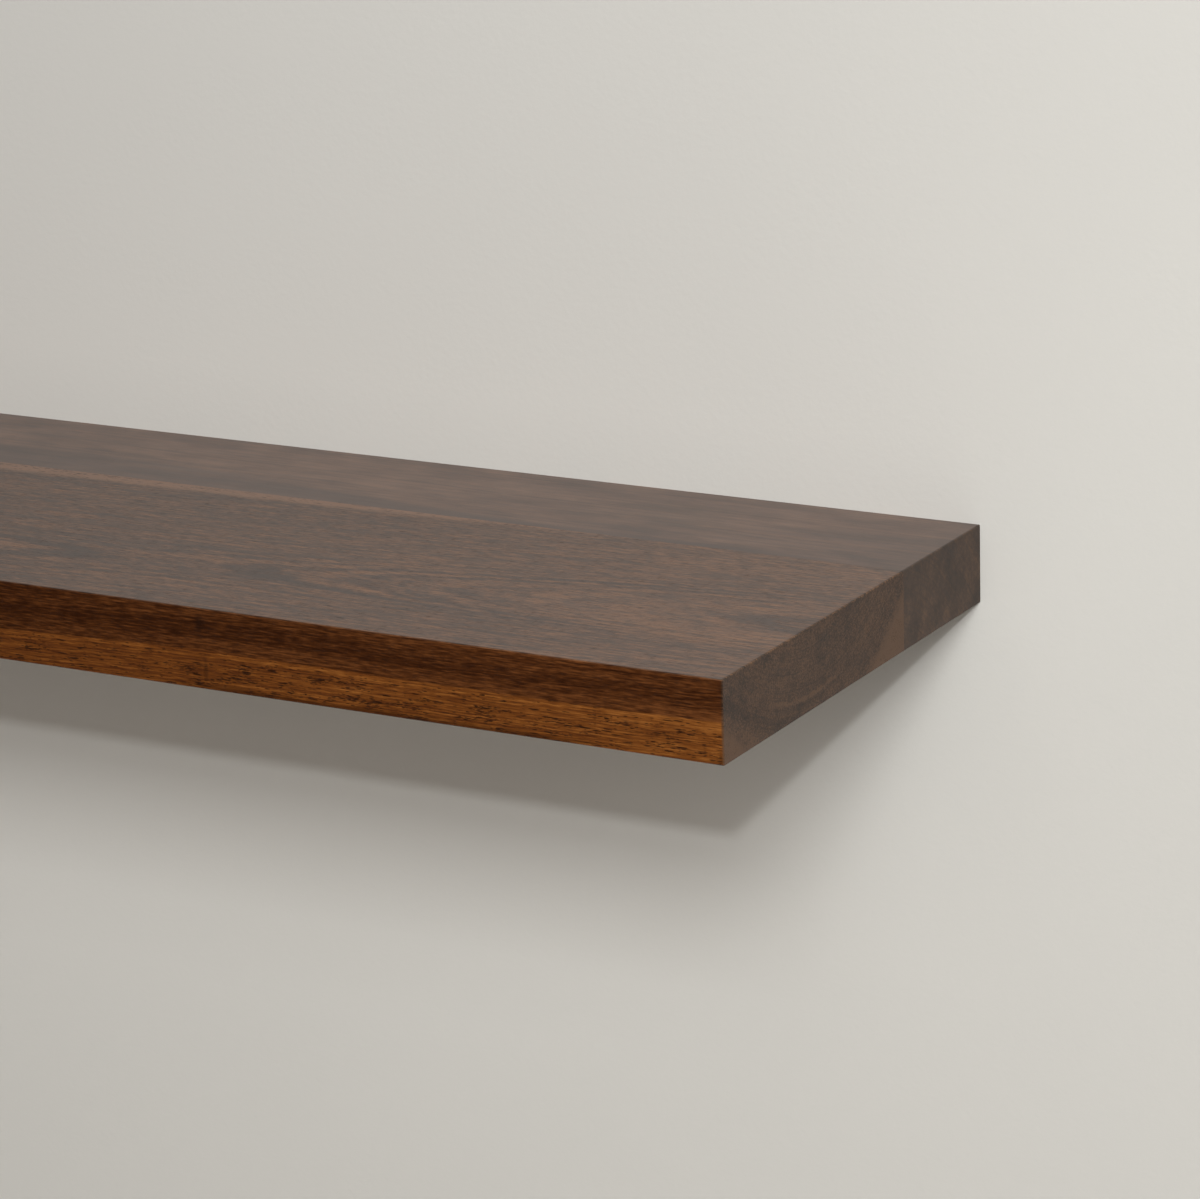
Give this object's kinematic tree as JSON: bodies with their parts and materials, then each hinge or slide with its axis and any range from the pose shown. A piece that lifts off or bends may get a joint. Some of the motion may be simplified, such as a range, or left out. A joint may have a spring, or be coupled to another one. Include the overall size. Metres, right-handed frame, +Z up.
{
  "type": "floating wall shelf",
  "caption": "Thick solid walnut shelf slab that slides on to a hidden steel wall plate with support rods and is locked from below.",
  "frame": {"origin": "centre of the wall plate's back face, on the wall's plane, halfway along the shelf and halfway up its edge", "axes": "+X along the shelf to the right as seen from the room, +Y into the wall, +Z up"},
  "size_m": [0.914, 0.3293, 0.038],
  "materials": {
    "walnut_front_board": "satin oil, straight grain with a cathedral figure, lighter towards the underside",
    "walnut_rear_board": "satin oil, straight grain",
    "plate_paint": "black powder coat, fine texture",
    "rod_steel": "ground bright steel bar",
    "zinc_plate": "pale zinc plate",
    "black_oxide": "black oxide, oiled",
    "insert_brass": "turned brass"
  },
  "bodies": {
    "wall_bracket": {"wall_plate": "plate_paint", "support_rod_left": "rod_steel", "support_rod_centre": "rod_steel", "support_rod_right": "rod_steel", "rod_bolt_left": "black_oxide", "rod_bolt_centre": "black_oxide", "rod_bolt_right": "black_oxide", "wall_screw_1": "zinc_plate", "wall_screw_2": "zinc_plate", "wall_screw_3": "zinc_plate", "wall_screw_4": "zinc_plate", "wall_screw_5": "zinc_plate", "wall_screw_6": "zinc_plate"},
    "shelf": {"front_board": "walnut_front_board", "rear_board": "walnut_rear_board", "threaded_insert_left": "insert_brass", "threaded_insert_right": "insert_brass"},
    "grub_screw_left_body": {"grub_screw_left": "black_oxide"},
    "grub_screw_right_body": {"grub_screw_right": "black_oxide"}
  },
  "joints": [
    {"name": "shelf_slide", "type": "slide", "parent": "wall_bracket", "child": "shelf", "axis": [0, -1, 0], "range_m": [0, 0.2]},
    {"name": "grub_screw_left_travel", "type": "slide", "parent": "shelf", "child": "grub_screw_left_body", "axis": [0, 0, -1], "range_m": [0, 0.003]},
    {"name": "grub_screw_right_travel", "type": "slide", "parent": "shelf", "child": "grub_screw_right_body", "axis": [0, 0, -1], "range_m": [0, 0.003]}
  ]
}
